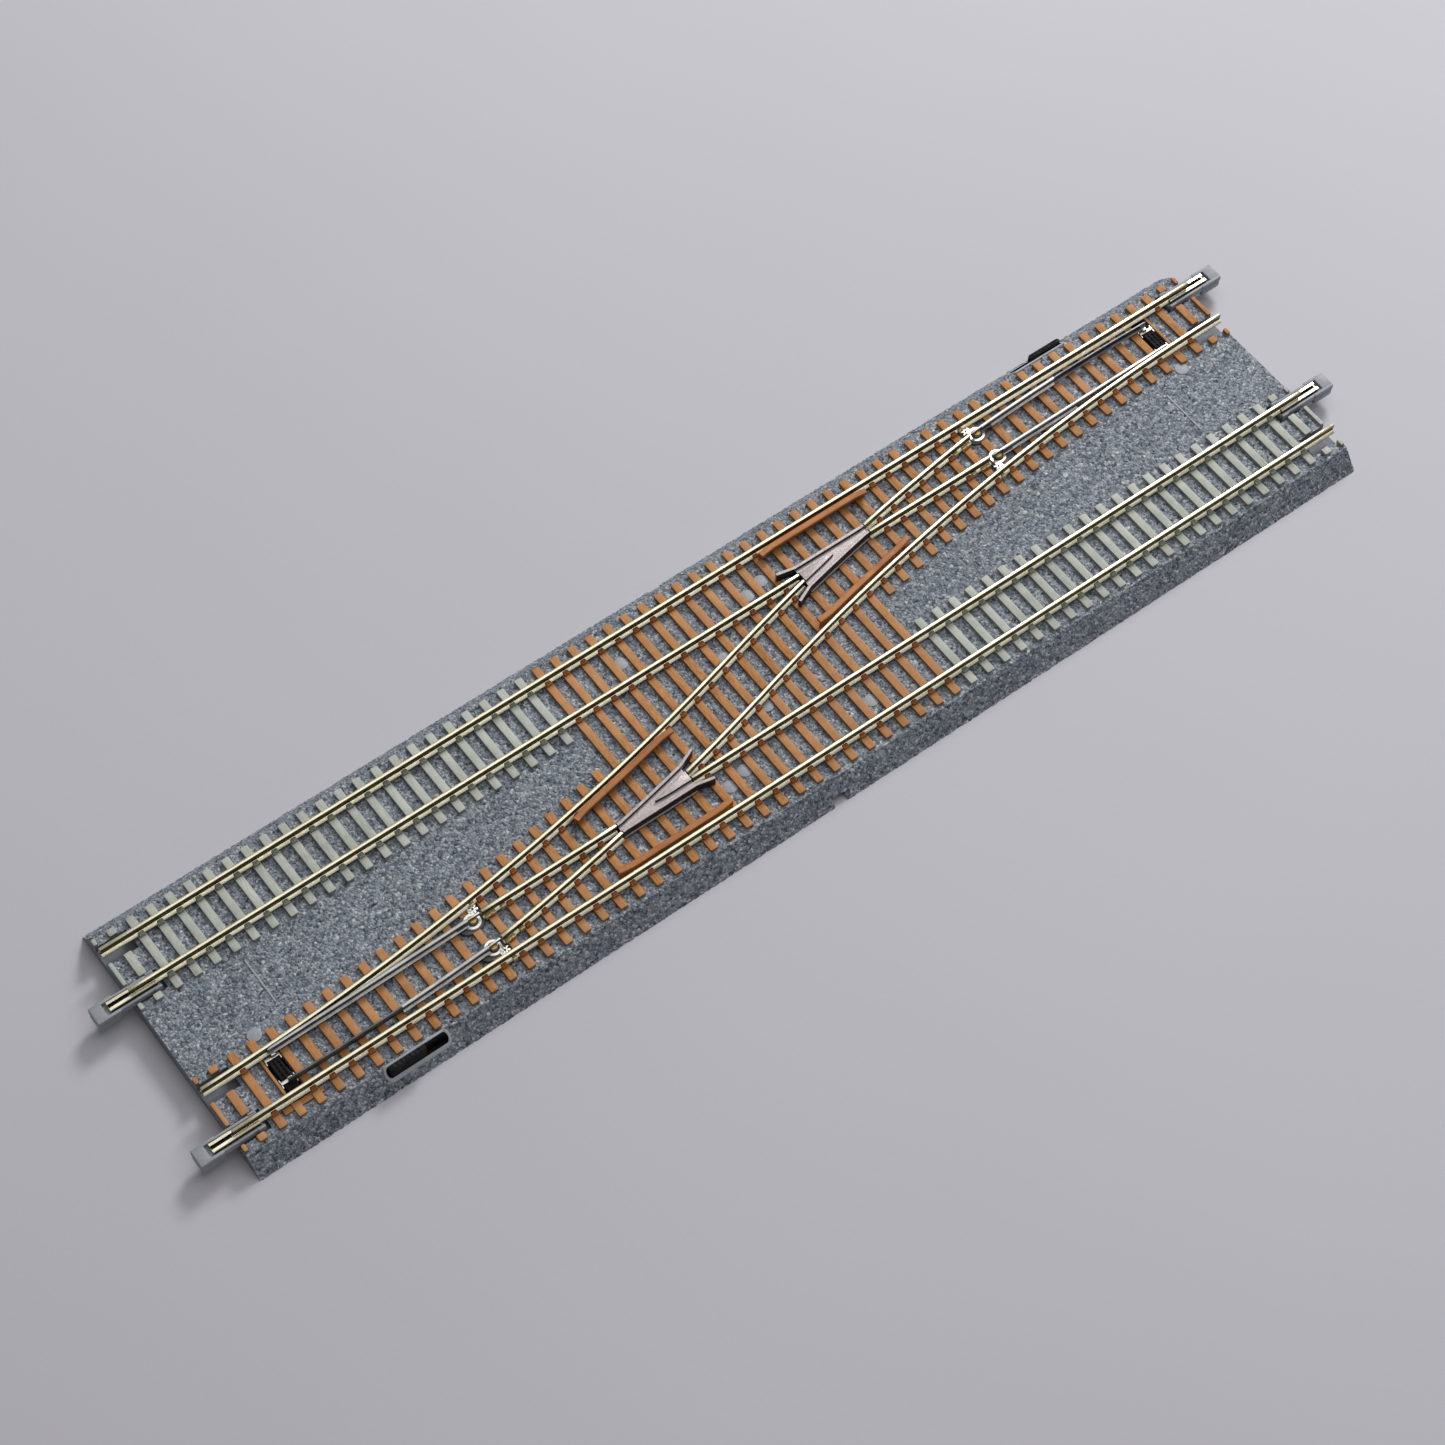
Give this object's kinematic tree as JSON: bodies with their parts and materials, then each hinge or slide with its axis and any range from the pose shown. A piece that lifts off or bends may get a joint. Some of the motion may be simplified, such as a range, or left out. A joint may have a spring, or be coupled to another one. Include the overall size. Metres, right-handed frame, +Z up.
{
  "type": "model railway crossover",
  "caption": "Double-track model railway crossover: turnouts back to back in a ballasted roadbed, with moving blades, throw bars and side levers.",
  "frame": {"origin": "on the table under the middle of the roadbed", "axes": "+X along the tracks, +Y across them towards the track whose turnout starts at the +X end, +Z up"},
  "size_m": [0.2628, 0.058, 0.007],
  "materials": {
    "ballast": "granular grey",
    "cover": "satin black",
    "wood_brown": "matte brown",
    "concrete_grey": "matte grey-green",
    "nickel": "bright nickel silver",
    "steel": "bright",
    "frog_metal": "dark satin",
    "brass": "bright",
    "iron": "grey",
    "copper": "enamelled copper",
    "black_plastic": "satin black",
    "grey_plastic": "matte grey",
    "board": "green laminate"
  },
  "bodies": {
    "track_base": {"roadbed": "ballast", "bottom_cover": "cover", "wood_sleepers": "wood_brown", "circuit_board": "board", "cable_terminal": "grey_plastic", "cover_screw_1": "steel", "cover_screw_2": "steel", "cover_screw_3": "steel", "cover_screw_4": "steel", "concrete_sleepers_west": "concrete_grey", "stock_rail_straight_west": "nickel", "stock_rail_curved_west": "nickel", "closure_rail_straight_west": "nickel", "closure_rail_curved_west": "nickel", "frog_rail_west": "nickel", "frog_west": "frog_metal", "heel_contact_straight_west": "steel", "heel_contact_curved_west": "steel", "heel_pin_straight_west": "brass", "heel_pin_curved_west": "brass", "coil_bobbin_west": "grey_plastic", "coil_winding_west": "copper", "detent_spring_west": "steel", "joiner_holder_1_west": "grey_plastic", "joiner_holder_2_west": "grey_plastic", "rail_joiner_1_west": "steel", "rail_joiner_2_west": "steel", "concrete_sleepers_east": "concrete_grey", "stock_rail_straight_east": "nickel", "stock_rail_curved_east": "nickel", "closure_rail_straight_east": "nickel", "closure_rail_curved_east": "nickel", "frog_rail_east": "nickel", "frog_east": "frog_metal", "heel_contact_straight_east": "steel", "heel_contact_curved_east": "steel", "heel_pin_straight_east": "brass", "heel_pin_curved_east": "brass", "coil_bobbin_east": "grey_plastic", "coil_winding_east": "copper", "detent_spring_east": "steel", "joiner_holder_1_east": "grey_plastic", "joiner_holder_2_east": "grey_plastic", "rail_joiner_1_east": "steel", "rail_joiner_2_east": "steel"},
    "drive_west": {"drive_slide_west": "black_plastic", "manual_lever_west": "black_plastic", "plunger_west": "iron"},
    "throw_west": {"throw_bar_west": "black_plastic"},
    "blade_straight_west": {"blade_straight_west": "steel"},
    "blade_curved_west": {"blade_curved_west": "steel"},
    "drive_east": {"drive_slide_east": "black_plastic", "manual_lever_east": "black_plastic", "plunger_east": "iron"},
    "throw_east": {"throw_bar_east": "black_plastic"},
    "blade_straight_east": {"blade_straight_east": "steel"},
    "blade_curved_east": {"blade_curved_east": "steel"}
  },
  "joints": [
    {"name": "drive_slide_west", "type": "slide", "parent": "track_base", "child": "drive_west", "axis": [1, 0, 0], "range_m": [0, 0.004]},
    {"name": "throw_west", "type": "slide", "parent": "track_base", "child": "throw_west", "axis": [0, -1, 0], "range_m": [0, 0.0019]},
    {"name": "blade_straight_hinge_west", "type": "hinge", "parent": "track_base", "child": "blade_straight_west", "pos_m": [-0.06847, -0.01167, 0.0055], "axis": [0, 0, 1], "range_deg": [0, 2.6]},
    {"name": "blade_curved_hinge_west", "type": "hinge", "parent": "track_base", "child": "blade_curved_west", "pos_m": [-0.06847, -0.01809, 0.0055], "axis": [0, 0, 1], "range_deg": [0, 2.6]},
    {"name": "drive_slide_east", "type": "slide", "parent": "track_base", "child": "drive_east", "axis": [-1, 0, 0], "range_m": [0, 0.004]},
    {"name": "throw_east", "type": "slide", "parent": "track_base", "child": "throw_east", "axis": [0, 1, 0], "range_m": [0, 0.0019]},
    {"name": "blade_straight_hinge_east", "type": "hinge", "parent": "track_base", "child": "blade_straight_east", "pos_m": [0.06847, 0.01167, 0.0055], "axis": [0, 0, 1], "range_deg": [0, 2.6]},
    {"name": "blade_curved_hinge_east", "type": "hinge", "parent": "track_base", "child": "blade_curved_east", "pos_m": [0.06847, 0.01809, 0.0055], "axis": [0, 0, 1], "range_deg": [0, 2.6]}
  ],
  "couplings": [
    {"joint": "throw_west", "follows": "drive_slide_west", "ratio": 0.475},
    {"joint": "blade_straight_hinge_west", "follows": "drive_slide_west", "rad_per_m": 11.331},
    {"joint": "blade_curved_hinge_west", "follows": "drive_slide_west", "rad_per_m": 11.331},
    {"joint": "throw_east", "follows": "drive_slide_east", "ratio": 0.475},
    {"joint": "blade_straight_hinge_east", "follows": "drive_slide_east", "rad_per_m": 11.331},
    {"joint": "blade_curved_hinge_east", "follows": "drive_slide_east", "rad_per_m": 11.331}
  ]
}
